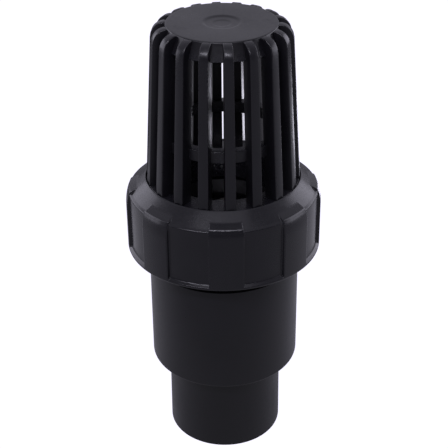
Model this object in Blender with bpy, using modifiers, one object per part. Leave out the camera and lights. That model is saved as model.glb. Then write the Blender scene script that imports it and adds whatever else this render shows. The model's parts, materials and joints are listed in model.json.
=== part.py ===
"""Foot valve for a 50 mm PVC-U suction pipe: single union, spring check, with strainer.

It stands on the end face of its pipe socket, with the axis along +Z and the strainer on top.
The origin is the centre of the socket's end face. Units are metres.

Flow is downwards: through the slots of the strainer, past the seat and round the poppet,
which opens by sliding down against its spring, and out through the pipe socket.
Unscrewing the union nut lifts the nut and the strainer off the body.
"""
import bmesh
import bpy
from math import cos, pi, radians, sin, tau
from mathutils import Matrix

MM = 0.001
GAP = 0.3 * MM  # clearance between neighbouring pieces

# Steps round the axis
BIG_STEPS = 40
BASKET_STEPS = 36
SMALL_STEPS = 32

# Pipe socket
PIPE_R = 25.2 * MM
SOCKET_R = 30.35 * MM
SOCKET_H = 47.5 * MM
SOCKET_DEPTH = 31.0 * MM
THROAT_R = 21.5 * MM

# Barrel
BARREL_R = 39.1 * MM
BARREL_BORE_R = 35.0 * MM
BARREL_EDGE_R = 1.6 * MM
LOWER_BORE_R = 30.5 * MM
LEDGE_Z = 70.0 * MM
BODY_TOP_Z = 135.7 * MM

# Union thread: right-handed, trapezoidal
PITCH = 6.0 * MM
NECK_R = 42.7 * MM
NECK_FOOT_Z = 118.0 * MM
RELIEF_R = 37.2 * MM  # the waist under the thread, above the barrel's upper edge
RELIEF_Z = 106.9 * MM
MALE_CREST_R = 44.6 * MM
FEMALE_CREST_R = 43.3 * MM
FEMALE_ROOT_R = 45.2 * MM
RIDGE_ROOT_W = 3.5 * MM
RIDGE_CREST_W = 2.1 * MM
THREAD_TURNS = 2.25
THREAD_START_Z = 120.4 * MM

# Union nut
NUT_R = 50.0 * MM
NUT_RECESS_R = 48.4 * MM
NUT_BOTTOM_Z = 115.0 * MM
NUT_RIM_H = 2.0 * MM
NUT_SHOULDER_Z = 146.3 * MM
NUT_CONE_Z = 146.8 * MM
NUT_TOP_Z = 154.5 * MM
NUT_HOLE_R = 39.3 * MM
LUG_COUNT = 8
LUG_WIDTH = radians(20.0)
LUG_PHASE = radians(1.4)
LUG_TOP_R = 44.1 * MM
LUG_ROUND_R = 3.6 * MM  # the lug's top edge is a quarter ellipse, this deep and this high
LUG_ROUND_H = 10.0 * MM
LUG_ROUND_Z = 139.5 * MM

# Strainer basket
FLANGE_R = 42.8 * MM
FLANGE_H = 4.5 * MM
COLLAR_TOP_Z = 154.0 * MM
BASKET_FOOT_R = 38.95 * MM
BASKET_SHOULDER_R = 34.5 * MM
BASKET_SHOULDER_Z = 228.0 * MM
BASKET_TOP_Z = 235.3 * MM
BASKET_INNER_R = 30.0 * MM
COLLAR_BORE_R = 28.0 * MM
DISC_R = 27.2 * MM
FIN_COUNT = 18
FIN_PHASE = radians(5.3)
FIN_DEPTH = 7.7 * MM  # along the radius; the inner edge is parallel to the outer one
FIN_FOOT_W = 5.3 * MM
FIN_TOP_W = 4.3 * MM
HOOP_Z = 176.2 * MM
HOOP_H = 5.8 * MM
HOOP_R = 32.0 * MM
HOOP_DEPTH = 4.8 * MM

# Seat carrier
CARRIER_FLANGE_H = 5.2 * MM
CARRIER_R = 34.6 * MM
SEAT_R = 24.5 * MM
SEAT_Z = 126.0 * MM
CARRIER_Z = BODY_TOP_Z + GAP
CARRIER_TOP_Z = CARRIER_Z + CARRIER_FLANGE_H
BASKET_Z = CARRIER_TOP_Z + GAP

# Poppet and its stem
POPPET_R = 28.0 * MM
POPPET_Z = 117.0 * MM
POPPET_H = 5.0 * MM
SEAL_H = 3.4 * MM
STEM_R = 4.0 * MM
STEM_END_Z = 60.0 * MM
WASHER_R = 8.0 * MM
WASHER_H = 1.4 * MM
LOCK_WASHER_H = 1.8 * MM
BUSH_R = 6.2 * MM

# Stem guide, spring and retaining ring
GUIDE_Z = LEDGE_Z + GAP
GUIDE_H = 5.7 * MM
HUB_TOP_Z = 84.0 * MM
SPRING_R = 11.2 * MM
WIRE_R = 0.8 * MM
RING_GROOVE_R = 36.8 * MM
RING_Z = GUIDE_Z + GUIDE_H + GAP
RING_H = 1.8 * MM

PVC = (0.020, 0.020, 0.023)
RUBBER = (0.010, 0.010, 0.010)
STEEL = (0.60, 0.60, 0.58)
BEARING = (0.72, 0.71, 0.66)


def clear_scene():
    for obj in list(bpy.data.objects):
        bpy.data.objects.remove(obj, do_unlink=True)


def make_collection(name):
    collection = bpy.data.collections.new(name)
    bpy.context.scene.collection.children.link(collection)
    return collection


def finish(obj, colour, roughness, metallic=0.0):
    """Give an object its own Principled material and smooth round faces."""
    material = bpy.data.materials.new(obj.name + "_finish")
    material.use_nodes = True
    shader = material.node_tree.nodes["Principled BSDF"]
    shader.inputs["Base Color"].default_value = (*colour, 1.0)
    shader.inputs["Roughness"].default_value = roughness
    shader.inputs["Metallic"].default_value = metallic
    obj.data.materials.clear()
    obj.data.materials.append(material)
    if obj.type == "MESH":
        obj.data.shade_smooth()
        obj.data.set_sharp_from_angle(angle=radians(35.0))
    return obj


def arc(centre_r, centre_z, radius, start, end, count, height=None):
    """Points (r, z) on an arc, angles in degrees from +r towards +z.

    With a height, the arc is part of an ellipse of that half height.
    """
    half_height = height or radius
    points = []
    for i in range(count + 1):
        angle = radians(start + (end - start) * i / count)
        points.append((centre_r + radius * cos(angle), centre_z + half_height * sin(angle)))
    return points


def outline_object(name, outline, closed):
    """An outline (r, z) in the XZ plane as a mesh of edges."""
    mesh = bpy.data.meshes.new(name)
    edges = [(i, i + 1) for i in range(len(outline) - 1)]
    if closed:
        edges.append((len(outline) - 1, 0))
    mesh.from_pydata([(r, 0.0, z) for r, z in outline], edges, [])
    return bpy.data.objects.new(name, mesh)


def add_screw(obj, angle, steps, rise=0.0):
    screw = obj.modifiers.new("Screw", "SCREW")
    screw.axis = "Z"
    screw.angle = angle
    screw.screw_offset = rise
    screw.steps = steps
    screw.render_steps = steps
    screw.use_merge_vertices = True
    screw.merge_threshold = 0.00001
    screw.use_smooth_shade = True


def turned(name, outline, steps=BIG_STEPS, closed=True):
    """A turned piece. The outline runs down its outer side, then up its bore.

    An open outline starts and ends on the axis.
    """
    obj = outline_object(name, outline, closed)
    add_screw(obj, tau, steps)
    parts.objects.link(obj)
    return obj


def evaluated_mesh(obj):
    """The mesh that an object's modifiers or curve settings give."""
    graph = bpy.context.evaluated_depsgraph_get()
    return bpy.data.meshes.new_from_object(obj.evaluated_get(graph))


def close_mesh(mesh):
    """Weld a mesh, fill its open ends and point its faces out."""
    work = bmesh.new()
    work.from_mesh(mesh)
    bmesh.ops.remove_doubles(work, verts=work.verts, dist=0.00001)
    border = [edge for edge in work.edges if edge.is_boundary]
    if border:
        bmesh.ops.holes_fill(work, edges=border)
    bmesh.ops.recalc_face_normals(work, faces=work.faces)
    work.to_mesh(mesh)
    work.free()
    return mesh


def swept(name, outline, angle, steps, rise=0.0, start=0.0):
    """A section swept round the axis through less than a turn, or along a helix."""
    path = outline_object(name + "_section", outline, True)
    add_screw(path, angle, steps, rise)
    cutters.objects.link(path)
    bpy.context.view_layer.update()
    mesh = close_mesh(evaluated_mesh(path))
    bpy.data.objects.remove(path, do_unlink=True)
    mesh.transform(Matrix.Rotation(start, 4, "Z"))
    return bpy.data.objects.new(name, mesh)


def as_tool(obj):
    """Keep an object as a hidden operand of a Boolean."""
    for collection in list(obj.users_collection):
        collection.objects.unlink(obj)
    cutters.objects.link(obj)
    obj.hide_render = True
    obj.display_type = "WIRE"
    return obj


def combine(obj, tool, operation):
    boolean = obj.modifiers.new(operation.title(), "BOOLEAN")
    boolean.operation = operation
    boolean.solver = "EXACT"
    boolean.object = as_tool(tool)


def copies_round(name, source, count, phase):
    """One mesh with copies of a source at even steps round the axis, as one operand."""
    work = bmesh.new()
    for i in range(count):
        copy = source.data.copy()
        copy.transform(Matrix.Rotation(phase + tau * i / count, 4, "Z"))
        work.from_mesh(copy)
        bpy.data.meshes.remove(copy)
    mesh = bpy.data.meshes.new(name)
    work.to_mesh(mesh)
    work.free()
    bpy.data.objects.remove(source, do_unlink=True)
    return bpy.data.objects.new(name, mesh)


def front_angle(azimuth):
    """Angle about +Z from +X of a place at an azimuth from the front, -Y, towards +X."""
    return azimuth - pi / 2


def thread_ridge(name, root_r, crest_r, start_z):
    """One helical thread ridge, rooted just inside the wall that carries it."""
    bite = 0.8 * MM if crest_r < root_r else -0.8 * MM
    half_root = RIDGE_ROOT_W / 2
    half_crest = RIDGE_CREST_W / 2
    section = [
        (root_r + bite, start_z + half_root),
        (crest_r, start_z + half_crest),
        (crest_r, start_z - half_crest),
        (root_r + bite, start_z - half_root),
    ]
    steps = round(BIG_STEPS * THREAD_TURNS)
    return swept(name, section, tau * THREAD_TURNS, steps, PITCH * THREAD_TURNS)


def make_valve_body():
    edge = arc(BARREL_R - BARREL_EDGE_R, SOCKET_H + BARREL_EDGE_R, BARREL_EDGE_R, 0, -90, 4)
    groove_z = RING_Z - GAP
    outline = [
        (NECK_R - 0.8 * MM, BODY_TOP_Z),
        (NECK_R, BODY_TOP_Z - 0.8 * MM),
        (NECK_R, NECK_FOOT_Z + 2.0 * MM),
        (RELIEF_R, NECK_FOOT_Z - 1.0 * MM),
        (RELIEF_R, RELIEF_Z),
        (BARREL_R, RELIEF_Z),
        *edge,
        (SOCKET_R, SOCKET_H),
        (SOCKET_R, 1.4 * MM),
        (SOCKET_R - 1.4 * MM, 0.0),
        (PIPE_R + 0.8 * MM, 0.0),
        (PIPE_R, 2.0 * MM),
        (PIPE_R, SOCKET_DEPTH),
        (THROAT_R, SOCKET_DEPTH),
        (THROAT_R, SOCKET_H),
        (LOWER_BORE_R, SOCKET_H + 9.0 * MM),
        (LOWER_BORE_R, LEDGE_Z),
        (BARREL_BORE_R, LEDGE_Z),
        (BARREL_BORE_R, groove_z),
        (RING_GROOVE_R, groove_z),
        (RING_GROOVE_R, RING_Z + RING_H + GAP),
        (BARREL_BORE_R, RING_Z + RING_H + GAP),
        (BARREL_BORE_R, BODY_TOP_Z - 1.0 * MM),
        (BARREL_BORE_R + 1.0 * MM, BODY_TOP_Z),
    ]
    body = turned("valve_body", outline)
    combine(body, thread_ridge("male_thread", NECK_R, MALE_CREST_R, THREAD_START_Z), "UNION")
    finish(body, PVC, 0.38)


def make_union_nut():
    rim_top = NUT_BOTTOM_Z + NUT_RIM_H
    outline = [
        (NUT_HOLE_R, NUT_TOP_Z - 0.3 * MM),
        (NUT_HOLE_R + 0.3 * MM, NUT_TOP_Z),
        (NUT_RECESS_R, NUT_CONE_Z),
        (NUT_RECESS_R, rim_top),
        (NUT_R, rim_top - 0.4 * MM),
        (NUT_R, NUT_BOTTOM_Z),
        (FEMALE_ROOT_R + 0.8 * MM, NUT_BOTTOM_Z),
        (FEMALE_ROOT_R, NUT_BOTTOM_Z + 0.8 * MM),
        (FEMALE_ROOT_R, NUT_SHOULDER_Z - 4.0 * MM),
        (FLANGE_R + 0.5 * MM, NUT_SHOULDER_Z - 1.5 * MM),
        (FLANGE_R + 0.5 * MM, NUT_SHOULDER_Z),
        (NUT_HOLE_R, NUT_SHOULDER_Z),
    ]
    nut = turned("union_nut", outline)
    lug_r = NUT_R - 0.1 * MM
    lug_foot = NUT_BOTTOM_Z + NUT_RIM_H / 2
    lug_outline = [
        (LUG_TOP_R - 0.6 * MM, LUG_ROUND_Z + LUG_ROUND_H + 1.1 * MM),
        *arc(lug_r - LUG_ROUND_R, LUG_ROUND_Z, LUG_ROUND_R, 78, 0, 5, LUG_ROUND_H),
        (lug_r, lug_foot),
        (NUT_RECESS_R - 1.2 * MM, lug_foot),
        (NUT_RECESS_R - 1.2 * MM, NUT_CONE_Z - 1.5 * MM),
        (LUG_TOP_R - 0.6 * MM, NUT_CONE_Z + 1.0 * MM),
    ]
    lug = swept("lug", lug_outline, LUG_WIDTH, 4, start=-LUG_WIDTH / 2)
    combine(nut, copies_round("lugs", lug, LUG_COUNT, front_angle(LUG_PHASE)), "UNION")
    ridge_z = THREAD_START_Z + PITCH / 2
    combine(nut, thread_ridge("female_thread", FEMALE_ROOT_R, FEMALE_CREST_R, ridge_z), "UNION")
    finish(nut, PVC, 0.38)


def basket_r(z):
    """Outer radius of the fins, which lean inwards towards the top."""
    share = (z - COLLAR_TOP_Z) / (BASKET_SHOULDER_Z - COLLAR_TOP_Z)
    return BASKET_FOOT_R + (BASKET_SHOULDER_R - BASKET_FOOT_R) * share


def make_fin():
    """One fin standing on +X: a flat outline extruded, then thinned towards the top."""
    corner = BASKET_TOP_Z - BASKET_SHOULDER_Z
    foot_z = COLLAR_TOP_Z - 1.5 * MM
    outline = [
        (basket_r(foot_z) - FIN_DEPTH, foot_z),
        (basket_r(foot_z) - 0.3 * MM, foot_z),
        (BASKET_SHOULDER_R, BASKET_SHOULDER_Z),
        *arc(BASKET_SHOULDER_R - corner, BASKET_SHOULDER_Z, corner - 0.2 * MM, 5, 80, 5),
        (DISC_R - 3.0 * MM, BASKET_TOP_Z - 1.2 * MM),
        (DISC_R - 3.0 * MM, BASKET_TOP_Z - 3.2 * MM),
        (BASKET_SHOULDER_R - FIN_DEPTH, BASKET_SHOULDER_Z),
    ]
    curve = bpy.data.curves.new("fin_outline", "CURVE")
    curve.dimensions = "2D"
    curve.fill_mode = "BOTH"
    curve.extrude = 0.5
    spline = curve.splines.new("POLY")
    spline.points.add(len(outline) - 1)
    spline.use_cyclic_u = True
    for point, (r, z) in zip(spline.points, outline):
        point.co = (r, z, 0.0, 1.0)
    flat = bpy.data.objects.new("fin_outline", curve)
    cutters.objects.link(flat)
    bpy.context.view_layer.update()
    mesh = close_mesh(evaluated_mesh(flat))
    bpy.data.objects.remove(flat, do_unlink=True)
    mesh.transform(Matrix.Rotation(pi / 2, 4, "X"))
    for vertex in mesh.vertices:
        share = (vertex.co.z - COLLAR_TOP_Z) / (BASKET_TOP_Z - COLLAR_TOP_Z)
        vertex.co.y *= FIN_FOOT_W + (FIN_TOP_W - FIN_FOOT_W) * share
    return bpy.data.objects.new("fin", mesh)


def make_basket_cap():
    """The end disc with its turned-down wall, and a shallow recess at its centre."""
    wall_z = BASKET_SHOULDER_Z - 1.3 * MM
    outline = [
        (0.0, BASKET_TOP_Z - 0.9 * MM),
        (3.9 * MM, BASKET_TOP_Z - 0.9 * MM),
        (4.7 * MM, BASKET_TOP_Z - 0.6 * MM),
        (7.9 * MM, BASKET_TOP_Z - 0.6 * MM),
        (9.2 * MM, BASKET_TOP_Z),
        (DISC_R - 0.6 * MM, BASKET_TOP_Z),
        (DISC_R, BASKET_TOP_Z - 0.6 * MM),
        (DISC_R + 1.7 * MM, BASKET_SHOULDER_Z + 3.0 * MM),
        (BASKET_INNER_R + 0.3 * MM, wall_z),
        (BASKET_INNER_R - 3.7 * MM, wall_z),
        (BASKET_INNER_R - 5.5 * MM, BASKET_TOP_Z - 4.5 * MM),
        (0.0, BASKET_TOP_Z - 4.5 * MM),
    ]
    return turned("basket_cap", outline, BASKET_STEPS, closed=False)


def make_basket_hoop():
    outline = [
        (HOOP_R, HOOP_Z + HOOP_H),
        (HOOP_R, HOOP_Z),
        (HOOP_R - HOOP_DEPTH, HOOP_Z),
        (HOOP_R - HOOP_DEPTH, HOOP_Z + HOOP_H),
    ]
    return turned("basket_hoop", outline, BASKET_STEPS)


def make_strainer_basket():
    flange_top = BASKET_Z + FLANGE_H
    spigot_r = BASKET_INNER_R - GAP - 0.1 * MM
    outline = [
        (COLLAR_BORE_R, COLLAR_TOP_Z),
        (BASKET_FOOT_R, COLLAR_TOP_Z),
        (BASKET_FOOT_R, flange_top),
        (FLANGE_R - 0.5 * MM, flange_top),
        (FLANGE_R, flange_top - 0.5 * MM),
        (FLANGE_R, BASKET_Z),
        (spigot_r, BASKET_Z),
        (spigot_r, BASKET_Z - 3.2 * MM),
        (spigot_r - 2.6 * MM, BASKET_Z - 3.2 * MM),
        (spigot_r - 2.6 * MM, COLLAR_TOP_Z - 4.0 * MM),
    ]
    basket = turned("strainer_basket", outline, BASKET_STEPS)
    fins = copies_round("fins", make_fin(), FIN_COUNT, front_angle(FIN_PHASE))
    combine(basket, fins, "UNION")
    combine(basket, make_basket_hoop(), "UNION")
    combine(basket, make_basket_cap(), "UNION")
    finish(basket, PVC, 0.42)


def make_seat_carrier():
    """A ring with the seat lip below, an outer groove for the O-ring and a top groove."""
    groove_z = SEAT_Z + 4.0 * MM
    groove_h = 3.2 * MM
    groove_r = CARRIER_R - 2.6 * MM
    gasket_floor = CARRIER_TOP_Z - 2.1 * MM
    outline = [
        (FLANGE_R, CARRIER_TOP_Z),
        (FLANGE_R, CARRIER_Z),
        (CARRIER_R, CARRIER_Z),
        (CARRIER_R, groove_z + groove_h),
        (groove_r, groove_z + groove_h),
        (groove_r, groove_z),
        (CARRIER_R, groove_z),
        (CARRIER_R, SEAT_Z + 1.6 * MM),
        (CARRIER_R - 1.0 * MM, SEAT_Z + 0.9 * MM),
        (SEAT_R + 2.4 * MM, SEAT_Z + 0.9 * MM),
        (SEAT_R + 1.5 * MM, SEAT_Z),
        (SEAT_R, SEAT_Z),
        (SEAT_R, SEAT_Z + 4.0 * MM),
        (BASKET_INNER_R, SEAT_Z + 9.0 * MM),
        (BASKET_INNER_R, CARRIER_TOP_Z),
        (33.5 * MM, CARRIER_TOP_Z),
        (33.5 * MM, gasket_floor),
        (39.5 * MM, gasket_floor),
        (39.5 * MM, CARRIER_TOP_Z),
    ]
    finish(turned("seat_carrier", outline, SMALL_STEPS), PVC, 0.42)


def make_rubber_rings():
    bpy.ops.mesh.primitive_torus_add(
        major_segments=SMALL_STEPS, minor_segments=6,
        major_radius=CARRIER_R - 1.15 * MM, minor_radius=1.15 * MM,
        location=(0.0, 0.0, SEAT_Z + 5.6 * MM))
    o_ring = bpy.context.object
    o_ring.name = "body_o_ring"
    take_in(o_ring)
    finish(o_ring, RUBBER, 0.6)
    top = CARRIER_TOP_Z
    floor = CARRIER_TOP_Z - 1.8 * MM
    gasket = [(39.2 * MM, top), (39.2 * MM, floor), (33.8 * MM, floor), (33.8 * MM, top)]
    finish(turned("flange_gasket", gasket, SMALL_STEPS), RUBBER, 0.6)
    seal_z = POPPET_Z + POPPET_H + GAP
    seal = [
        (POPPET_R - 1.2 * MM, seal_z + SEAL_H),
        (POPPET_R - 0.4 * MM, seal_z + SEAL_H - 0.8 * MM),
        (POPPET_R - 0.4 * MM, seal_z),
        (13.0 * MM, seal_z),
        (13.0 * MM, seal_z + SEAL_H),
    ]
    finish(turned("poppet_seal", seal, SMALL_STEPS), RUBBER, 0.6)


def take_in(obj):
    """Move an object made by an operator into the valve's collection."""
    for collection in list(obj.users_collection):
        collection.objects.unlink(obj)
    parts.objects.link(obj)


def make_poppet():
    top = POPPET_Z + POPPET_H
    outline = [
        (STEM_R + GAP, top + 2.8 * MM),
        (12.6 * MM, top + 2.8 * MM),
        (12.6 * MM, top),
        (POPPET_R - 0.8 * MM, top),
        (POPPET_R, top - 0.8 * MM),
        (POPPET_R, top - 2.6 * MM),
        (POPPET_R - 6.0 * MM, POPPET_Z),
        (9.0 * MM, POPPET_Z),
        (8.2 * MM, POPPET_Z - 5.0 * MM),
        (STEM_R + GAP, POPPET_Z - 5.0 * MM),
    ]
    finish(turned("poppet", outline, SMALL_STEPS), PVC, 0.42)
    plate_z = top + SEAL_H + 2 * GAP
    plate = [
        (STEM_R + GAP, plate_z + 3.0 * MM),
        (21.0 * MM, plate_z + 3.0 * MM),
        (22.6 * MM, plate_z + 1.6 * MM),
        (22.6 * MM, plate_z),
        (STEM_R + GAP, plate_z),
    ]
    finish(turned("seal_retainer", plate, SMALL_STEPS), PVC, 0.42)
    make_stem(plate_z + 3.0 * MM)


def hexagon(name, radius, height, base_z):
    """A six-sided prism standing on base_z."""
    mesh = bpy.data.meshes.new(name)
    work = bmesh.new()
    bmesh.ops.create_cone(work, cap_ends=True, segments=6, radius1=radius, radius2=radius,
                          depth=height, matrix=Matrix.Translation((0.0, 0.0, base_z + height / 2)))
    work.to_mesh(mesh)
    work.free()
    return bpy.data.objects.new(name, mesh)


def make_washer(name, top):
    """A plain washer on the stem, given the height of its top."""
    outline = [
        (WASHER_R, top),
        (WASHER_R, top - WASHER_H),
        (STEM_R + GAP, top - WASHER_H),
        (STEM_R + GAP, top),
    ]
    finish(turned(name, outline, SMALL_STEPS), STEEL, 0.3, 1.0)


def make_stem(retainer_top):
    """The stem bolt with its head and washer, and the washers and nut below the poppet."""
    make_washer("head_washer", retainer_top + GAP + WASHER_H)
    head_z = retainer_top + WASHER_H + 2 * GAP
    neck_z = head_z + 1.0 * MM
    outline = [
        (0.0, neck_z),
        (STEM_R, neck_z),
        (STEM_R, STEM_END_Z + 1.0 * MM),
        (STEM_R - 1.0 * MM, STEM_END_Z),
        (0.0, STEM_END_Z),
    ]
    stem = turned("poppet_stem", outline, 24, closed=False)
    combine(stem, hexagon("stem_head", 7.5 * MM, 5.0 * MM, head_z), "UNION")
    finish(stem, STEEL, 0.3, 1.0)
    washer_top = POPPET_Z - 5.0 * MM - GAP
    make_washer("stem_washer", washer_top)
    lock_top = washer_top - WASHER_H - GAP
    section = [
        (WASHER_R - 1.0 * MM, lock_top),
        (WASHER_R - 1.0 * MM, lock_top - LOCK_WASHER_H),
        (STEM_R + GAP, lock_top - LOCK_WASHER_H),
        (STEM_R + GAP, lock_top),
    ]
    lock_washer = swept("lock_washer", section, radians(350.0), SMALL_STEPS)
    parts.objects.link(lock_washer)
    finish(lock_washer, STEEL, 0.3, 1.0)
    nut_h = 6.5 * MM
    nut_top = lock_top - LOCK_WASHER_H - GAP
    nut = hexagon("stem_nut", 7.5 * MM, nut_h, nut_top - nut_h)
    parts.objects.link(nut)
    bore_r = STEM_R + GAP
    bore = outline_object("stem_nut_bore", [
        (0.0, nut_top + 1.0 * MM), (bore_r, nut_top + 1.0 * MM),
        (bore_r, nut_top - nut_h - 1.0 * MM), (0.0, nut_top - nut_h - 1.0 * MM)], False)
    add_screw(bore, tau, 24)
    combine(nut, bore, "DIFFERENCE")
    finish(nut, STEEL, 0.3, 1.0)


def make_stem_guide():
    """A rim on the body's ledge, three arms and a hub that holds the bush."""
    top = GUIDE_Z + GUIDE_H
    rim = [
        (BARREL_BORE_R - GAP, top),
        (BARREL_BORE_R - GAP, GUIDE_Z),
        (28.5 * MM, GUIDE_Z),
        (28.5 * MM, top),
    ]
    guide = turned("stem_guide", rim, SMALL_STEPS)
    hub = [
        (BUSH_R + GAP, HUB_TOP_Z),
        (8.8 * MM, HUB_TOP_Z),
        (9.0 * MM, top + 0.2 * MM),
        (13.5 * MM, top + 0.2 * MM),
        (13.5 * MM, GUIDE_Z + 0.2 * MM),
        (10.0 * MM, GUIDE_Z - 5.0 * MM),
        (BUSH_R + GAP, GUIDE_Z - 5.0 * MM),
    ]
    arm_reach = 20.0 * MM
    arm = bpy.data.meshes.new("guide_arm")
    work = bmesh.new()
    bmesh.ops.create_cube(work, size=1.0)
    work.to_mesh(arm)
    work.free()
    arm.transform(Matrix.Diagonal((arm_reach, 4.0 * MM, GUIDE_H - 0.6 * MM, 1.0)))
    arm.transform(Matrix.Translation((20.5 * MM, 0.0, GUIDE_Z + GUIDE_H / 2)))
    arms = copies_round("guide_arms", bpy.data.objects.new("guide_arm", arm), 3, front_angle(pi / 6))
    combine(guide, arms, "UNION")
    combine(guide, turned("guide_hub", hub, SMALL_STEPS), "UNION")
    finish(guide, PVC, 0.42)
    bush = [
        (STEM_R + 0.2 * MM, HUB_TOP_Z + GAP + 1.2 * MM),
        (8.0 * MM, HUB_TOP_Z + GAP + 1.2 * MM),
        (8.0 * MM, HUB_TOP_Z + GAP),
        (BUSH_R, HUB_TOP_Z + GAP),
        (BUSH_R, GUIDE_Z - 5.0 * MM),
        (STEM_R + 0.2 * MM, GUIDE_Z - 5.0 * MM),
    ]
    finish(turned("guide_bush", bush, 20), BEARING, 0.45)


def make_retaining_ring():
    """A snap ring, open through a short gap so that it can be squeezed into its groove."""
    section = [
        (RING_GROOVE_R - GAP, RING_Z + RING_H),
        (RING_GROOVE_R - GAP, RING_Z),
        (33.0 * MM, RING_Z),
        (33.0 * MM, RING_Z + RING_H),
    ]
    ring = swept("retaining_ring", section, radians(330.0), SMALL_STEPS, start=front_angle(radians(15.0)))
    parts.objects.link(ring)
    finish(ring, STEEL, 0.3, 1.0)


def spring_point(turn, turns, low_z, high_z):
    """A point of the spring's wire: one closed turn at each end, even pitch between."""
    closed_rise = 2 * WIRE_R + 0.5 * MM
    middle_rise = (high_z - low_z - 2 * closed_rise) / (turns - 2)
    rise = closed_rise * min(turn, 1.0)
    rise += middle_rise * min(max(turn - 1.0, 0.0), turns - 2)
    rise += closed_rise * max(turn - turns + 1, 0.0)
    return SPRING_R * cos(tau * turn), SPRING_R * sin(tau * turn), low_z + rise


def make_return_spring():
    turns = 7
    points_per_turn = 12
    low_z = GUIDE_Z + GUIDE_H + 0.2 * MM + GAP + WIRE_R
    high_z = POPPET_Z - GAP - WIRE_R
    curve = bpy.data.curves.new("return_spring_wire", "CURVE")
    curve.dimensions = "3D"
    curve.bevel_depth = WIRE_R
    curve.bevel_resolution = 1
    curve.use_fill_caps = True
    count = turns * points_per_turn + 1
    spline = curve.splines.new("POLY")
    spline.points.add(count - 1)
    for i, point in enumerate(spline.points):
        point.co = (*spring_point(i / points_per_turn, turns, low_z, high_z), 1.0)
    spring = bpy.data.objects.new("return_spring", curve)
    parts.objects.link(spring)
    finish(spring, STEEL, 0.3, 1.0)


clear_scene()
parts = make_collection("foot_valve")
cutters = make_collection("tools")
make_valve_body()
make_union_nut()
make_strainer_basket()
make_seat_carrier()
make_rubber_rings()
make_poppet()
make_stem_guide()
make_retaining_ring()
make_return_spring()
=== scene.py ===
"""Looks of the foot valve: fine moulded surfaces, materials, studio light and camera.

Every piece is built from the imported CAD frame's own sizes, in metres, with +Z up the valve's
axis and -Y towards the camera. Outlines are points (radius, height).
"""
import json
from math import cos, pi, radians, sin, tau

import bmesh
import bpy
from mathutils import Matrix, Vector


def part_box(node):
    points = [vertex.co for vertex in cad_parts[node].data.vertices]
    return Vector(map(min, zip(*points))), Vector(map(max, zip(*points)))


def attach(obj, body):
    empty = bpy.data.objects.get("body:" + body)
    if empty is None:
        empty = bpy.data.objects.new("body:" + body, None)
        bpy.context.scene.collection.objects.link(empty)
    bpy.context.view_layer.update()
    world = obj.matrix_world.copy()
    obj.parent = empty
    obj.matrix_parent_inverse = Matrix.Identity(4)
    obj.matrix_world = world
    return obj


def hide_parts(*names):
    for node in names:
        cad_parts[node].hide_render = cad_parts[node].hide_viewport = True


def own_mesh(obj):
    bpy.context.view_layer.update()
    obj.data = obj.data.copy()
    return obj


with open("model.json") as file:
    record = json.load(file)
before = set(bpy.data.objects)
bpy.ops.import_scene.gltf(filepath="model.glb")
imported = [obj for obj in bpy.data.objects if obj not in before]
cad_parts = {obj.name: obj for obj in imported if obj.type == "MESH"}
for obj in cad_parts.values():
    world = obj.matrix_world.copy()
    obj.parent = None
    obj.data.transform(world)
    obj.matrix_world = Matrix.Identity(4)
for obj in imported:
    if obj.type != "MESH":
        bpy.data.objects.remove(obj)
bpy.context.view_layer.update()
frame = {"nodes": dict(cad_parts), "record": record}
scene = bpy.context.scene

MM = 0.001
WELD = 0.004 * MM
TURN_STEPS = 160
FINE_ANGLE = 30.0  # edges sharper than this, in degrees, are shaded as edges

# Studio
COOL = (0.88, 0.86, 1.0)
WHITE_SEEN = 1.2  # strength of the floor and the surround, as the camera sees them
FLOOR_GLOW = (0.28, 0.55)  # what the floor gives to the object, in front and behind
SURROUND_GLOW = (0.12, 0.56)  # the same for the surround
CAMERA_PLACE = (0.0002, -0.5213, 0.4281)
CAMERA_PITCH = radians(30.226)
CAMERA_ROLL = radians(-0.49)
SENSOR_W = 36.0
LENS = 92.9

# Body
SOCKET_R = 30.4 * MM
SOCKET_H = 47.5 * MM
PIPE_R = 25.2 * MM
PIPE_STOP_Z = 31.0 * MM
THROAT_R = 21.5 * MM
BARREL_R = 39.1 * MM
BARREL_BORE_R = 35.0 * MM
LOWER_BORE_R = 30.5 * MM
LEDGE_Z = 70.0 * MM
NECK_R = 42.7 * MM
NECK_FOOT_Z = 118.0 * MM
RELIEF_R = 37.2 * MM
RELIEF_Z = 106.9 * MM
RING_GROOVE_R = 36.8 * MM
RING_GROOVE_Z = (76.0 * MM, 78.4 * MM)

# Union thread
PITCH = 6.0 * MM
THREAD_TURNS = 2.25
THREAD_Z = 120.4 * MM
MALE_CREST_R = 44.6 * MM
FEMALE_CREST_R = 43.3 * MM
FEMALE_ROOT_R = 45.2 * MM
RIDGE_ROOT_W = 3.5 * MM
RIDGE_CREST_W = 2.1 * MM

# Union nut
NUT_HOLE_R = 39.3 * MM
RECESS_R = 48.4 * MM
RECESS_FOOT_Z = 117.0 * MM
NUT_FOOT_ROUND = 1.2 * MM
SHOULDER_Z = 146.3 * MM
CONE_TOP_R = 39.6 * MM
CONE_SLOPE = 0.875
LUG_TOP_R = 44.1 * MM
LUG_ROUND_R = 3.6 * MM  # the lug's top edge is a quarter ellipse, this deep and this high
LUG_ROUND_H = 10.0 * MM
LUG_ROUND_Z = 139.5 * MM
LUG_EDGE_R = 48.25 * MM
LUG_EDGE_Z = 149.2 * MM
LUG_COUNT = 8
LUG_WIDTH = radians(20.0)
LUG_PHASE = radians(1.4)

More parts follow.
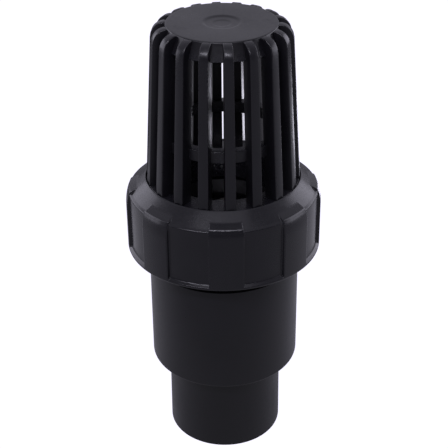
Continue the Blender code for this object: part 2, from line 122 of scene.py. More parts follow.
# Strainer basket
COLLAR_TOP_Z = 154.0 * MM
BASKET_FOOT_R = 38.95 * MM
BASKET_SHOULDER_R = 34.5 * MM
BASKET_SHOULDER_Z = 228.0 * MM
BASKET_INNER_R = 30.0 * MM
COLLAR_BORE_R = 28.0 * MM
DISC_R = 27.2 * MM
FIN_COUNT = 18
FIN_PHASE = radians(5.3)
FIN_DEPTH = 7.7 * MM
FIN_FOOT_W = 5.3 * MM
FIN_TOP_W = 4.3 * MM
HOOP_Z = 176.2 * MM
HOOP_H = 5.8 * MM
HOOP_R = 32.0 * MM
HOOP_DEPTH = 4.8 * MM
FLANGE_R = 42.8 * MM
FLANGE_H = 4.5 * MM
FLANGE_GAP = 0.3 * MM

# Inner pieces
INNER_STEPS = 72
O_RING_STEPS = 96
O_RING_WIRE_R = 1.15 * MM
SPRING_R = 11.2 * MM
SPRING_WIRE_R = 0.8 * MM
SPRING_CLOSED_RISE = 2.1 * MM
SPRING_TURNS = 7
SPRING_POINTS = 40  # in one turn of the wire

body_top_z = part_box("valve_body")[1].z
nut_low, nut_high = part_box("union_nut")
basket_top_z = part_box("strainer_basket")[1].z
flange_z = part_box("seat_carrier")[1].z + FLANGE_GAP


# ---------------------------------------------------------------- mesh tools

def arc(centre_r, centre_z, radius, start, end, count, height=None):
    """Points on an arc, angles in degrees from +r towards +z, or on an ellipse of that height."""
    half_height = height or radius
    points = []
    for i in range(count + 1):
        angle = radians(start + (end - start) * i / count)
        points.append((centre_r + radius * cos(angle), centre_z + half_height * sin(angle)))
    return points


def front_angle(azimuth):
    """Angle about +Z from +X of a place at an azimuth from -Y towards +X."""
    return azimuth - pi / 2


def new_object(name, mesh):
    obj = bpy.data.objects.new(name, mesh)
    scene.collection.objects.link(obj)
    return obj


def outline_object(name, outline, closed):
    mesh = bpy.data.meshes.new(name)
    edges = [(i, i + 1) for i in range(len(outline) - 1)]
    if closed:
        edges.append((len(outline) - 1, 0))
    mesh.from_pydata([(r, 0.0, z) for r, z in outline], edges, [])
    return new_object(name, mesh)


def apply_modifiers(obj):
    """Turn an object's modifiers into its mesh, welded, with any open ends filled."""
    graph = bpy.context.evaluated_depsgraph_get()
    mesh = bpy.data.meshes.new_from_object(obj.evaluated_get(graph))
    work = bmesh.new()
    work.from_mesh(mesh)
    bmesh.ops.remove_doubles(work, verts=work.verts, dist=WELD)
    border = [edge for edge in work.edges if edge.is_boundary]
    if border:
        bmesh.ops.holes_fill(work, edges=border)
    bmesh.ops.recalc_face_normals(work, faces=work.faces)
    work.to_mesh(mesh)
    work.free()
    obj.modifiers.clear()
    obj.data = mesh
    return obj


def turned(name, outline, steps=TURN_STEPS, closed=True, angle=tau, rise=0.0):
    """A solid swept round the axis; with a rise it is a helix."""
    obj = outline_object(name, outline, closed)
    screw = obj.modifiers.new("Screw", "SCREW")
    screw.axis = "Z"
    screw.angle = angle
    screw.screw_offset = rise
    screw.steps = steps
    screw.render_steps = steps
    screw.use_merge_vertices = True
    screw.merge_threshold = 1.25 * WELD
    return apply_modifiers(obj)


def united(obj, *tools):
    """Join solids into one body and remove the tools."""
    for tool in tools:
        boolean = obj.modifiers.new("Union", "BOOLEAN")
        boolean.operation = "UNION"
        boolean.solver = "EXACT"
        boolean.object = tool
    apply_modifiers(obj)
    for tool in tools:
        bpy.data.objects.remove(tool, do_unlink=True)
    return obj


def round_edges(obj, width, segments, angle=35.0):
    """Round the sharp edges of a solid."""
    bevel = obj.modifiers.new("Bevel", "BEVEL")
    bevel.width = width
    bevel.segments = segments
    bevel.limit_method = "ANGLE"
    bevel.angle_limit = radians(angle)
    bevel.use_clamp_overlap = True
    return apply_modifiers(obj)


def smooth(obj, angle=FINE_ANGLE):
    obj.data.shade_smooth()
    obj.data.set_sharp_from_angle(angle=radians(angle))
    return obj


def copies_round(name, source, count, phase):
    """One object with copies of a source at even steps round the axis."""
    work = bmesh.new()
    for i in range(count):
        copy = source.data.copy()
        copy.transform(Matrix.Rotation(phase + tau * i / count, 4, "Z"))
        work.from_mesh(copy)
        bpy.data.meshes.remove(copy)
    mesh = bpy.data.meshes.new(name)
    work.to_mesh(mesh)
    work.free()
    bpy.data.objects.remove(source, do_unlink=True)
    return new_object(name, mesh)


def thread_ridge(name, root_r, crest_r, start_z):
    """A helical ridge whose foot bites into the wall that it stands on."""
    bite = 0.6 * MM if crest_r < root_r else -0.6 * MM
    half_root = RIDGE_ROOT_W / 2
    half_crest = RIDGE_CREST_W / 2
    section = [
        (root_r + bite, start_z + half_root),
        (crest_r, start_z + half_crest),
        (crest_r, start_z - half_crest),
        (root_r + bite, start_z - half_root),
    ]
    steps = round(TURN_STEPS * THREAD_TURNS)
    return turned(name, section, steps, angle=tau * THREAD_TURNS, rise=PITCH * THREAD_TURNS)


# ---------------------------------------------------------------- materials

class Nodes:
    """Short calls for building one material's node tree."""

    def __init__(self, name):
        self.material = bpy.data.materials.new(name)
        self.material.use_nodes = True
        self.tree = self.material.node_tree
        self.shader = self.tree.nodes["Principled BSDF"]
        self.place = self.add("ShaderNodeTexCoord").outputs["Object"]

    def add(self, kind, **values):
        node = self.tree.nodes.new(kind)
        for key, value in values.items():
            setattr(node, key, value)
        return node

    def link(self, out, socket):
        self.tree.links.new(out, socket)

    def stretched(self, scale):
        mapping = self.add("ShaderNodeMapping")
        mapping.inputs["Scale"].default_value = scale
        self.link(self.place, mapping.inputs["Vector"])
        return mapping.outputs["Vector"]

    def noise(self, scale, detail=3.0, stretch=(1.0, 1.0, 1.0), roughness=0.5):
        node = self.add("ShaderNodeTexNoise")
        node.inputs["Scale"].default_value = scale
        node.inputs["Detail"].default_value = detail
        node.inputs["Roughness"].default_value = roughness
        self.link(self.stretched(stretch), node.inputs["Vector"])
        return node.outputs["Fac"]

    def remap(self, value, low, high, to_low, to_high):
        node = self.add("ShaderNodeMapRange")
        node.inputs["From Min"].default_value = low
        node.inputs["From Max"].default_value = high
        node.inputs["To Min"].default_value = to_low
        node.inputs["To Max"].default_value = to_high
        self.link(value, node.inputs["Value"])
        return node.outputs["Result"]

    def blend(self, share, first, second):
        """Mix two colours, each a colour or another node's output."""
        node = self.add("ShaderNodeMix", data_type="RGBA")
        self.link(share, node.inputs["Factor"])
        for socket, colour in ((node.inputs[6], first), (node.inputs[7], second)):
            if isinstance(colour, tuple):
                socket.default_value = (*colour, 1.0)
            else:
                self.link(colour, socket)
        return node.outputs[2]

    def math(self, operation, first, second):
        node = self.add("ShaderNodeMath", operation=operation)
        for socket, value in zip(node.inputs, (first, second)):
            if isinstance(value, float):
                socket.default_value = value
            else:
                self.link(value, socket)
        return node.outputs[0]

    def worn_edges(self, low, high):
        """1 on convex edges, 0 on flat faces."""
        pointiness = self.add("ShaderNodeNewGeometry").outputs["Pointiness"]
        return self.remap(pointiness, low, high, 0.0, 1.0)

    def bump(self, height, strength, distance, onto=None):
        node = self.add("ShaderNodeBump")
        node.inputs["Strength"].default_value = strength
        node.inputs["Distance"].default_value = distance
        self.link(height, node.inputs["Height"])
        if onto is not None:
            self.link(onto, node.inputs["Normal"])
        return node.outputs["Normal"]


def moulded_plastic(name, dark, light, roughness, grain, specular=0.5):
    """Moulded plastic: cloudy tone, specks, rubs, paler edges, and grain of a depth in metres."""
    n = Nodes(name)
    cloud = n.remap(n.noise(38.0, 4.0), 0.35, 0.65, 0.0, 1.0)
    speck = n.remap(n.noise(2600.0, 2.0), 0.62, 0.75, 0.0, 0.35)
    rubs = n.remap(n.noise(95.0, 5.0, (1.0, 1.0, 0.12), 0.62), 0.56, 0.72, 0.0, 1.0)
    edges = n.worn_edges(0.515, 0.56)
    colour = n.blend(cloud, dark, light)
    colour = n.blend(speck, colour, tuple(2.2 * c for c in light))
    colour = n.blend(n.math("MULTIPLY", edges, 0.45), colour, tuple(2.6 * c for c in light))
    n.link(colour, n.shader.inputs["Base Color"])
    fine = n.remap(n.noise(620.0, 3.0), 0.3, 0.7, -0.03, 0.03)
    rough = n.math("ADD", n.remap(cloud, 0.0, 1.0, roughness - 0.03, roughness + 0.04), fine)
    rough = n.math("ADD", rough, n.math("MULTIPLY", rubs, 0.07))
    n.link(n.math("SUBTRACT", rough, n.math("MULTIPLY", edges, 0.08)), n.shader.inputs["Roughness"])
    skin = n.bump(n.noise(24.0, 2.0), 0.35, 0.4 * MM)
    normal = n.bump(n.noise(1500.0, 2.0), 1.0, grain, onto=skin)
    n.link(normal, n.shader.inputs["Normal"])
    n.shader.inputs["Specular IOR Level"].default_value = specular
    return n.material


def rubber(name):
    n = Nodes(name)
    bloom = n.remap(n.noise(120.0, 5.0), 0.4, 0.7, 0.0, 1.0)
    n.link(n.blend(bloom, (0.010, 0.010, 0.010), (0.026, 0.026, 0.027)), n.shader.inputs["Base Color"])
    n.link(n.remap(n.noise(700.0, 3.0), 0.3, 0.7, 0.55, 0.75), n.shader.inputs["Roughness"])
    n.link(n.bump(n.noise(2200.0, 2.0), 0.7, 0.03 * MM), n.shader.inputs["Normal"])
    return n.material


def turned_steel(name):
    """Stainless steel with lathe and drawing marks that run round the axis."""
    n = Nodes(name)
    marks = n.noise(60.0, 4.0, (1.0, 1.0, 60.0))
    tone = n.remap(n.noise(80.0, 4.0), 0.3, 0.7, 0.0, 1.0)
    n.link(n.blend(tone, (0.50, 0.50, 0.49), (0.66, 0.66, 0.64)), n.shader.inputs["Base Color"])
    n.link(n.remap(marks, 0.3, 0.7, 0.22, 0.40), n.shader.inputs["Roughness"])
    n.link(n.bump(marks, 0.4, 0.03 * MM), n.shader.inputs["Normal"])
    n.shader.inputs["Metallic"].default_value = 1.0
    return n.material


def natural_acetal(name):
    n = Nodes(name)
    cloud = n.remap(n.noise(90.0, 4.0), 0.3, 0.7, 0.0, 1.0)
    n.link(n.blend(cloud, (0.66, 0.65, 0.59), (0.78, 0.77, 0.72)), n.shader.inputs["Base Color"])
    n.link(n.remap(n.noise(500.0, 3.0), 0.3, 0.7, 0.38, 0.52), n.shader.inputs["Roughness"])
    n.link(n.bump(n.noise(60.0, 3.0, (1.0, 1.0, 30.0)), 0.4, 0.03 * MM), n.shader.inputs["Normal"])
    return n.material


def dress(obj, material, body=None, node=None):
    """Give a piece its material and body, and hide the CAD node that it stands in for."""
    obj.data.materials.clear()
    obj.data.materials.append(material)
    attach(obj, body)
    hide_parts(node)
    return obj


# ---------------------------------------------------------------- valve body

def make_body():
    outline = [
        *arc(NECK_R - 0.9 * MM, body_top_z - 0.9 * MM, 0.9 * MM, 90, 0, 5),
        (NECK_R, NECK_FOOT_Z + 2.0 * MM),
        (RELIEF_R + 0.5 * MM, NECK_FOOT_Z - 0.8 * MM),
        (RELIEF_R, NECK_FOOT_Z - 1.4 * MM),
        (RELIEF_R, RELIEF_Z + 0.5 * MM),
        (RELIEF_R + 0.5 * MM, RELIEF_Z),
        *arc(BARREL_R - 0.3 * MM, RELIEF_Z - 0.3 * MM, 0.3 * MM, 90, 0, 3),
        *arc(BARREL_R - 1.4 * MM, SOCKET_H + 1.5 * MM, 1.5 * MM, 0, -90, 8),
        *arc(SOCKET_R + 0.6 * MM, SOCKET_H - 0.9 * MM, 0.9 * MM, 90, 180, 5),
        *arc(SOCKET_R - 1.3 * MM, 1.3 * MM, 1.3 * MM, 0, -90, 7),
        *arc(PIPE_R + 0.9 * MM, 0.9 * MM, 0.9 * MM, -90, -180, 4),
        (PIPE_R, PIPE_STOP_Z - 0.5 * MM),
        (PIPE_R - 0.5 * MM, PIPE_STOP_Z),
        *arc(THROAT_R + 0.6 * MM, PIPE_STOP_Z + 0.6 * MM, 0.6 * MM, -90, -180, 4),
        (THROAT_R, SOCKET_H),
        (LOWER_BORE_R, SOCKET_H + 9.0 * MM),
        *arc(LOWER_BORE_R + 0.6 * MM, LEDGE_Z - 0.6 * MM, 0.6 * MM, 180, 90, 4),
        (BARREL_BORE_R, LEDGE_Z),
        (BARREL_BORE_R, RING_GROOVE_Z[0]),
        (RING_GROOVE_R, RING_GROOVE_Z[0]),
        (RING_GROOVE_R, RING_GROOVE_Z[1]),
        (BARREL_BORE_R, RING_GROOVE_Z[1]),
        (BARREL_BORE_R, body_top_z - 1.0 * MM),
        (BARREL_BORE_R + 1.0 * MM, body_top_z),
    ]
    body = turned("body_shell", outline)
    united(body, thread_ridge("male_thread", NECK_R, MALE_CREST_R, THREAD_Z))
    return smooth(body, 32.0)


# ---------------------------------------------------------------- union nut

def straight(start, end, count):
    """Points from start to end, the last one left out."""
    points = []
    for i in range(count):
        share = i / count
        points.append(tuple(a + (b - a) * share for a, b in zip(start, end)))
    return points


def cone_z(r):
    """Height of the nut's conical shoulder at a radius."""
    return nut_high.z - (r - CONE_TOP_R) * CONE_SLOPE


def nut_outlines():
    """Outlines through a lug and through a recess, point for point alike in number."""
    nut_r = nut_high.x
    foot = nut_low.z
    cone_end = (LUG_TOP_R, cone_z(LUG_TOP_R))
    shared_top = [
        *arc(NUT_HOLE_R + 0.2 * MM, nut_high.z - 0.2 * MM, 0.2 * MM, 180, 50, 5),
        *straight((NUT_HOLE_R + 1.0 * MM, cone_z(NUT_HOLE_R + 1.0 * MM)), cone_end, 6),
    ]
    lug_round = [
        *arc(LUG_EDGE_R - 1.9 * MM, LUG_EDGE_Z - 2.0 * MM, 2.2 * MM, 48, 30, 4),
        *arc(nut_r - LUG_ROUND_R, LUG_ROUND_Z, LUG_ROUND_R, 56, 0, 9, LUG_ROUND_H),
    ]
    lug = [
        *straight(cone_end, lug_round[0], 7),
        *lug_round,
        *straight((nut_r, LUG_ROUND_Z - 1.0 * MM), (nut_r, RECESS_FOOT_Z), 9),
        *straight((nut_r, RECESS_FOOT_Z), (nut_r, foot + NUT_FOOT_ROUND), 10),
    ]
    edge = 1.0 * MM
    recess = [
        *straight(cone_end, (RECESS_R - 0.75 * edge, cone_z(RECESS_R - 0.75 * edge)), 7),
        *arc(RECESS_R - edge, cone_z(RECESS_R) - 0.1 * MM, edge, 49, 0, 14),
        *straight((RECESS_R, cone_z(RECESS_R) - 1.0 * MM), (RECESS_R, RECESS_FOOT_Z + 1.9 * MM), 9),
        *arc(RECESS_R + 1.3 * MM, RECESS_FOOT_Z + 1.6 * MM, 1.3 * MM, 180, 235, 4),
        *arc(nut_r - 0.5 * MM, RECESS_FOOT_Z - 0.5 * MM, 0.5 * MM, 60, 0, 4),
    ]
    shared_foot = [
        *arc(nut_r - NUT_FOOT_ROUND, foot + NUT_FOOT_ROUND, NUT_FOOT_ROUND, 0, -90, 6),
        (FEMALE_ROOT_R + 1.0 * MM, foot),
        (FEMALE_ROOT_R, foot + 1.0 * MM),
        *straight((FEMALE_ROOT_R, foot + 2.0 * MM), (FEMALE_ROOT_R, SHOULDER_Z - 4.0 * MM), 3),
        (FEMALE_ROOT_R, SHOULDER_Z - 4.0 * MM),
        (FLANGE_R + 0.5 * MM, SHOULDER_Z - 1.5 * MM),
        (FLANGE_R + 0.5 * MM, SHOULDER_Z),
        (NUT_HOLE_R + 0.4 * MM, SHOULDER_Z),
        (NUT_HOLE_R, SHOULDER_Z + 0.4 * MM),
    ]
    return shared_top + lug + shared_foot, shared_top + recess + shared_foot


def lug_columns():
    """(angle, share of lug) for one pitch of the nut, with close columns on the lug's sides."""
    side = [(-0.75, 1.0), (-0.42, 0.985), (-0.2, 0.93), (-0.07, 0.82), (0.02, 0.55),
            (0.10, 0.22), (0.2, 0.09), (0.38, 0.02), (0.65, 0.0)]
    pitch = tau / LUG_COUNT
    half = LUG_WIDTH / 2
    columns = []
    for i in range(9):
        columns.append((-half + LUG_WIDTH * (i + 0.5) / 9, 1.0))
    for offset, share in side:
        columns.append((half + offset * MM / nut_high.x, share))
    gap = pitch - LUG_WIDTH
    for i in range(11):
        columns.append((half + gap * (i + 0.5) / 11, 0.0))
    for offset, share in reversed(side):
        columns.append((pitch - half - offset * MM / nut_high.x, share))
    return columns


def make_nut():
    """The nut's skin, swept round from the two outlines, with its thread."""
    lug, recess = nut_outlines()
    columns = lug_columns()
    work = bmesh.new()
    rings = []
    for k in range(LUG_COUNT):
        for angle, share in columns:
            turn = front_angle(LUG_PHASE) + tau * k / LUG_COUNT + angle
            ring = []
            for (lug_r, lug_z), (recess_r, recess_z) in zip(lug, recess):
                r = recess_r + (lug_r - recess_r) * share
                z = recess_z + (lug_z - recess_z) * share
                ring.append(work.verts.new((r * cos(turn), r * sin(turn), z)))
            rings.append(ring)
    for first, second in zip(rings, rings[1:] + rings[:1]):
        for i in range(len(first)):
            j = (i + 1) % len(first)
            work.faces.new((first[i], first[j], second[j], second[i]))
    bmesh.ops.recalc_face_normals(work, faces=work.faces)
    mesh = bpy.data.meshes.new("nut_shell")
    work.to_mesh(mesh)
    work.free()
    nut = new_object("nut_shell", mesh)
    ridge = thread_ridge("female_thread", FEMALE_ROOT_R, FEMALE_CREST_R, THREAD_Z + PITCH / 2)
    united(nut, ridge)
    return smooth(nut)


# ---------------------------------------------------------------- strainer basket

def basket_r(z):
    """Outer radius of the fins, which lean inwards towards the top."""
    share = (z - COLLAR_TOP_Z) / (BASKET_SHOULDER_Z - COLLAR_TOP_Z)
    return BASKET_FOOT_R + (BASKET_SHOULDER_R - BASKET_FOOT_R) * share


def make_fin():
    """One fin standing on +X, thinner towards the top, with rounded edges."""
    corner = basket_top_z - BASKET_SHOULDER_Z
    foot_z = COLLAR_TOP_Z - 2.0 * MM
    front = [foot_z + (BASKET_SHOULDER_Z - foot_z) * i / 12 for i in range(1, 12)]
    outline = [
        (basket_r(foot_z) - FIN_DEPTH, foot_z),
        (basket_r(foot_z) - 0.3 * MM, foot_z),
        *[(basket_r(z), z) for z in front],
        (BASKET_SHOULDER_R, BASKET_SHOULDER_Z),
        *arc(BASKET_SHOULDER_R - corner, BASKET_SHOULDER_Z, corner - 0.15 * MM, 6, 84, 14),
        (DISC_R - 3.0 * MM, basket_top_z - 1.0 * MM),
        (DISC_R - 3.0 * MM, basket_top_z - 3.2 * MM),
        (BASKET_SHOULDER_R - FIN_DEPTH, BASKET_SHOULDER_Z),
    ]
    work = bmesh.new()
    near = [work.verts.new((r, -0.5, z)) for r, z in outline]
    far = [work.verts.new((r, 0.5, z)) for r, z in outline]
    work.faces.new(near)
    work.faces.new(list(reversed(far)))
    for i in range(len(near)):
        j = (i + 1) % len(near)
        work.faces.new((near[j], near[i], far[i], far[j]))
    for vertex in work.verts:  # one unit wide so far
        share = (vertex.co.z - COLLAR_TOP_Z) / (basket_top_z - COLLAR_TOP_Z)
        vertex.co.y *= FIN_FOOT_W + (FIN_TOP_W - FIN_FOOT_W) * share
    bmesh.ops.recalc_face_normals(work, faces=work.faces)
    mesh = bpy.data.meshes.new("fin")
    work.to_mesh(mesh)
    work.free()
    return round_edges(new_object("fin", mesh), 0.45 * MM, 3)


def make_cap():
    """The end disc with its shallow recess, and the sloping wall behind the fins' heads."""
    wall_z = BASKET_SHOULDER_Z - 1.3 * MM
    top = basket_top_z
    outline = [
        (0.0, top - 0.9 * MM),
        (3.4 * MM, top - 0.88 * MM),
        (4.0 * MM, top - 0.82 * MM),
        (4.6 * MM, top - 0.68 * MM),
        (5.3 * MM, top - 0.62 * MM),
        (7.4 * MM, top - 0.58 * MM),
        (8.1 * MM, top - 0.47 * MM),
        (8.8 * MM, top - 0.18 * MM),
        (9.4 * MM, top - 0.03 * MM),
        (10.2 * MM, top),
        (DISC_R - 2.0 * MM, top),
        *arc(DISC_R - 0.8 * MM, top - 0.8 * MM, 0.8 * MM, 90, 12, 6),
        (DISC_R + 0.4 * MM, top - 2.2 * MM),
        (BASKET_INNER_R + 0.4 * MM, wall_z + 0.3 * MM),
        (BASKET_INNER_R + 0.2 * MM, wall_z),
        (BASKET_INNER_R - 3.7 * MM, wall_z),
        (BASKET_INNER_R - 5.5 * MM, top - 4.5 * MM),
        (0.0, top - 4.5 * MM),
    ]
    return turned("basket_cap", outline, closed=False)


def make_basket():
    """Collar with its clamped flange and spigot, hoop, fins and end disc, as one moulding."""
    flange_top = flange_z + FLANGE_H
    spigot_r = BASKET_INNER_R - 0.4 * MM
    collar = turned("basket_shell", [
        (COLLAR_BORE_R, COLLAR_TOP_Z),
        *arc(BASKET_FOOT_R - 0.5 * MM, COLLAR_TOP_Z - 0.5 * MM, 0.5 * MM, 90, 0, 4),
        (BASKET_FOOT_R, flange_top + 0.6 * MM),
        (BASKET_FOOT_R + 0.6 * MM, flange_top),
        *arc(FLANGE_R - 0.5 * MM, flange_top - 0.5 * MM, 0.5 * MM, 90, 0, 4),
        (FLANGE_R, flange_z),
        (spigot_r, flange_z),
        (spigot_r, flange_z - 2.8 * MM),
        (spigot_r - 0.4 * MM, flange_z - 3.2 * MM),
        (spigot_r - 2.6 * MM, flange_z - 3.2 * MM),
        (spigot_r - 2.6 * MM, COLLAR_TOP_Z - 4.0 * MM),
    ])
    hoop = turned("hoop", [
        *arc(HOOP_R - 0.2 * MM, HOOP_Z + HOOP_H - 0.2 * MM, 0.2 * MM, 90, 0, 3),
        *arc(HOOP_R - 0.2 * MM, HOOP_Z + 0.2 * MM, 0.2 * MM, 0, -90, 3),
        (HOOP_R - HOOP_DEPTH, HOOP_Z),
        (HOOP_R - HOOP_DEPTH, HOOP_Z + HOOP_H),
    ])
    fins = copies_round("fins", make_fin(), FIN_COUNT, front_angle(FIN_PHASE))
    united(collar, fins, hoop, make_cap())
    return smooth(collar, 35.0)


# ---------------------------------------------------------------- inner pieces

def welded_copy(node):
    """The mesh of an inner CAD piece again, with its flat faces whole."""
    piece = new_object(node + "_fine", frame["nodes"][node].data.copy())
    work = bmesh.new()
    work.from_mesh(piece.data)
    bmesh.ops.remove_doubles(work, verts=work.verts, dist=WELD)
    bmesh.ops.dissolve_limit(work, angle_limit=radians(0.5), verts=work.verts, edges=work.edges)
    work.to_mesh(piece.data)
    work.free()
    return piece


def make_softened(node, width):
    """An inner CAD piece with its moulded or turned edges rounded."""
    return smooth(round_edges(welded_copy(node), width, 3))


def turned_outline(node):
    """The outline of a turned CAD piece, read where its surface crosses the half-plane x > 0."""
    work = bmesh.new()
    work.from_mesh(frame["nodes"][node].data)
    bmesh.ops.remove_doubles(work, verts=work.verts, dist=WELD)
    ring = {v for v in work.verts if abs(v.co.y) < 0.01 * MM and v.co.x > 0.0}
    links = {v: [e.other_vert(v) for e in v.link_edges if e.other_vert(v) in ring] for v in ring}
    first = max(ring, key=lambda v: (v.co.x, v.co.z))
    before, here = None, first
    outline = []
    while here is not first or before is None:
        outline.append((here.co.x, here.co.z))
        before, here = here, next(v for v in links[here] if v is not before)
    work.free()
    return outline


def make_turned(node, width):
    """A turned inner CAD piece swept again in fine steps, with its edges rounded."""
    piece = turned(node + "_fine", turned_outline(node), INNER_STEPS)
    return smooth(round_edges(piece, width, 2))


def make_o_ring():
    low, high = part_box("body_o_ring")
    middle = (low.z + high.z) / 2
    section = arc(high.x - O_RING_WIRE_R, middle, O_RING_WIRE_R, 0, 345, 23)
    return smooth(turned("body_o_ring_fine", section, O_RING_STEPS), 80.0)


def spring_point(turn, low_z, high_z):
    """A point of the spring's wire: one closed turn at each end, even pitch between."""
    middle_rise = (high_z - low_z - 2 * SPRING_CLOSED_RISE) / (SPRING_TURNS - 2)
    rise = SPRING_CLOSED_RISE * min(turn, 1.0)
    rise += middle_rise * min(max(turn - 1.0, 0.0), SPRING_TURNS - 2)
    rise += SPRING_CLOSED_RISE * max(turn - SPRING_TURNS + 1, 0.0)
    return SPRING_R * cos(tau * turn), SPRING_R * sin(tau * turn), low_z + rise


def make_spring():
    """The return spring, wound again from a smooth round wire between the ends of its CAD piece."""
    low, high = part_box("return_spring")
    curve = bpy.data.curves.new("spring_wire", "CURVE")
    curve.dimensions = "3D"
    curve.bevel_depth = SPRING_WIRE_R
    curve.bevel_resolution = 4
    curve.use_fill_caps = True
    spline = curve.splines.new("POLY")
    spline.points.add(SPRING_TURNS * SPRING_POINTS)
    for i, point in enumerate(spline.points):
        place = spring_point(i / SPRING_POINTS, low.z + SPRING_WIRE_R, high.z - SPRING_WIRE_R)
        point.co = (*place, 1.0)
    spring = new_object("return_spring_wire", curve)
    graph = bpy.context.evaluated_depsgraph_get()
    mesh = bpy.data.meshes.new_from_object(spring.evaluated_get(graph))
    bpy.data.objects.remove(spring, do_unlink=True)
    spring = smooth(new_object("return_spring_fine", mesh), 60.0)
    dress(spring, steel, "valve", "return_spring")
    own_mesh(spring)


def body_of(node):
    """The CAD body that a node moves with."""
    bodies = frame["record"]["behaviour"]["bodies"]
    return next(body for body, nodes in bodies.items() if node in nodes)


# ---------------------------------------------------------------- studio

def area_light(name, place, aim, size, power):
    data = bpy.data.lights.new(name, "AREA")
    data.shape = "RECTANGLE"
    data.size = size[0]
    data.size_y = size[1]
    data.energy = power
    data.color = COOL
    light = bpy.data.objects.new(name, data)
    light.location = place
    light.rotation_euler = (Vector(aim) - Vector(place)).to_track_quat("-Z", "Y").to_euler()
    scene.collection.objects.link(light)


def seen_or_lit(tree, seen, lit):
    """A strength: one value to the camera, another in the light that falls on the object."""
    path = tree.nodes.new("ShaderNodeLightPath").outputs["Is Camera Ray"]
    mix = tree.nodes.new("ShaderNodeMix")
    tree.links.new(path, mix.inputs["Factor"])
    tree.links.new(lit, mix.inputs["A"])
    mix.inputs["B"].default_value = seen
    return mix.outputs["Result"]


def make_world():
    """Soft surround, brighter behind the object than on the camera's side."""
    world = bpy.data.worlds.new("studio")
    world.use_nodes = True
    scene.world = world
    tree = world.node_tree
    shade = tree.nodes["Background"]
    direction = tree.nodes.new("ShaderNodeTexCoord").outputs["Generated"]
    split = tree.nodes.new("ShaderNodeSeparateXYZ")
    tree.links.new(direction, split.inputs["Vector"])
    across = tree.nodes.new("ShaderNodeMapRange")
    across.inputs["From Min"].default_value = -0.6
    across.inputs["From Max"].default_value = 0.6
    across.inputs["To Min"].default_value = SURROUND_GLOW[0]
    across.inputs["To Max"].default_value = SURROUND_GLOW[1]
    across.interpolation_type = "SMOOTHSTEP"
    tree.links.new(split.outputs["Y"], across.inputs["Value"])
    strength = seen_or_lit(tree, WHITE_SEEN, across.outputs["Result"])
    tree.links.new(strength, shade.inputs["Strength"])
    shade.inputs["Color"].default_value = (*COOL, 1.0)


def floor_glow(n):
    """Painted light that the glowing floor gives to the object: most behind it, less under it and far
    away; the dip under it is painted shade.
    """
    split = n.add("ShaderNodeSeparateXYZ")
    n.link(n.place, split.inputs["Vector"])
    length = n.add("ShaderNodeVectorMath", operation="LENGTH")
    n.link(n.place, length.inputs[0])
    behind = n.remap(split.outputs["Y"], -0.16, 0.16, *FLOOR_GLOW)
    # painted shade: the floor glows less close to the object, where the object's shadow would fall on
    # lit paper
    near = n.remap(length.outputs["Value"], 0.05, 0.15, 0.7, 1.0)
    far = n.remap(split.outputs["Y"], 0.20, 0.34, 1.0, 0.3)
    return n.math("MULTIPLY", n.math("MULTIPLY", behind, near), far)


def make_floor():
    """Pale paper that the camera sees evenly white, so that no shadow is seen on it; towards the
    object it glows, as painted light in place of lit paper.
    """
    mesh = bpy.data.meshes.new("floor")
    work = bmesh.new()
    bmesh.ops.create_grid(work, x_segments=1, y_segments=1, size=4.0)
    work.to_mesh(mesh)
    work.free()
    floor = new_object("floor", mesh)
    n = Nodes("floor_paper")
    tone = n.remap(n.noise(6.0, 2.0), 0.3, 0.7, 0.0, 1.0)
    n.shader.inputs["Base Color"].default_value = (0.0, 0.0, 0.0, 1.0)
    n.shader.inputs["Specular IOR Level"].default_value = 0.0
    n.link(n.blend(tone, (0.86, 0.84, 1.0), (0.90, 0.88, 1.0)), n.shader.inputs["Emission Color"])
    n.link(seen_or_lit(n.tree, WHITE_SEEN, floor_glow(n)), n.shader.inputs["Emission Strength"])
    floor.data.materials.append(n.material)


def make_camera():
    data = bpy.data.cameras.new("camera")
    data.sensor_width = SENSOR_W
    data.lens = LENS
    camera = bpy.data.objects.new("camera", data)
    turn = Matrix.Rotation(pi / 2 - CAMERA_PITCH, 4, "X") @ Matrix.Rotation(CAMERA_ROLL, 4, "Z")
    camera.matrix_world = Matrix.Translation(CAMERA_PLACE) @ turn
    scene.collection.objects.link(camera)
    scene.camera = camera


# ---------------------------------------------------------------- assembly

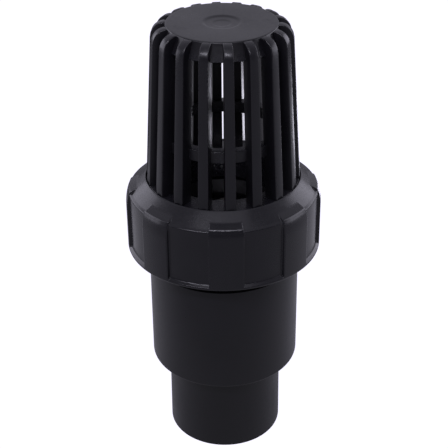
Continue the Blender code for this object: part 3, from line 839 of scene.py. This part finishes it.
make_camera()
make_world()
make_floor()
area_light("left_softbox", (-0.75, 0.22, 0.36), (0.0, 0.0, 0.13), (1.0, 0.5), 2.8)
area_light("right_softbox", (0.75, 0.22, 0.36), (0.0, 0.0, 0.13), (1.0, 0.5), 3.2)
area_light("top_softbox", (0.0, -0.40, 1.15), (0.0, 0.0, 0.15), (0.85, 0.5), 0.75)
area_light("key_strip", (-0.18, -0.72, 0.92), (0.0, 0.0, 0.15), (1.1, 0.08), 6.0)
area_light("low_panel", (0.23, 0.36, 0.002), (0.23, 0.36, 1.0), (0.16, 0.16), 0.36)

pvc = moulded_plastic(
    "black_pvc", (0.0050, 0.0048, 0.0064), (0.0066, 0.0064, 0.0084), 0.34, 0.010 * MM)
nut_pvc = moulded_plastic(
    "nut_pvc", (0.0070, 0.0068, 0.0090), (0.0086, 0.0083, 0.0108), 0.23, 0.004 * MM)
strainer_pvc = moulded_plastic(
    "strainer_pvc", (0.0050, 0.0048, 0.0066), (0.0066, 0.0064, 0.0084), 0.32, 0.010 * MM)
inner_pvc = moulded_plastic(
    "inner_pvc", (0.0050, 0.0048, 0.0060), (0.0066, 0.0064, 0.0080), 0.52, 0.005 * MM, 0.3)
epdm = rubber("epdm")
steel = turned_steel("stainless")
acetal = natural_acetal("acetal")

dress(make_body(), pvc, "valve", "valve_body")
dress(make_nut(), nut_pvc, "nut", "union_nut")
dress(make_basket(), strainer_pvc, "strainer", "strainer_basket")

INNER = (
    (make_turned, inner_pvc, "black_pvc", 0.35 * MM, ("seat_carrier", "poppet", "seal_retainer")),
    (make_softened, inner_pvc, "black_pvc", 0.35 * MM, ("stem_guide",)),
    (make_turned, epdm, "seal_rubber", 0.25 * MM, ("flange_gasket", "poppet_seal")),
    (make_turned, steel, "stainless", 0.20 * MM, ("head_washer", "stem_washer")),
    (make_softened, steel, "stainless", 0.20 * MM, ("poppet_stem", "lock_washer", "stem_nut",
                                                    "retaining_ring")),
    (make_turned, acetal, "bearing_plastic", 0.20 * MM, ("guide_bush",)),
)
for make, material, slot, width, nodes in INNER:
    for node in nodes:
        dress(make(node, width), material, body_of(node), node)
dress(make_o_ring(), epdm, "valve", "body_o_ring")
make_spring()

scene.view_settings.view_transform = "Standard"
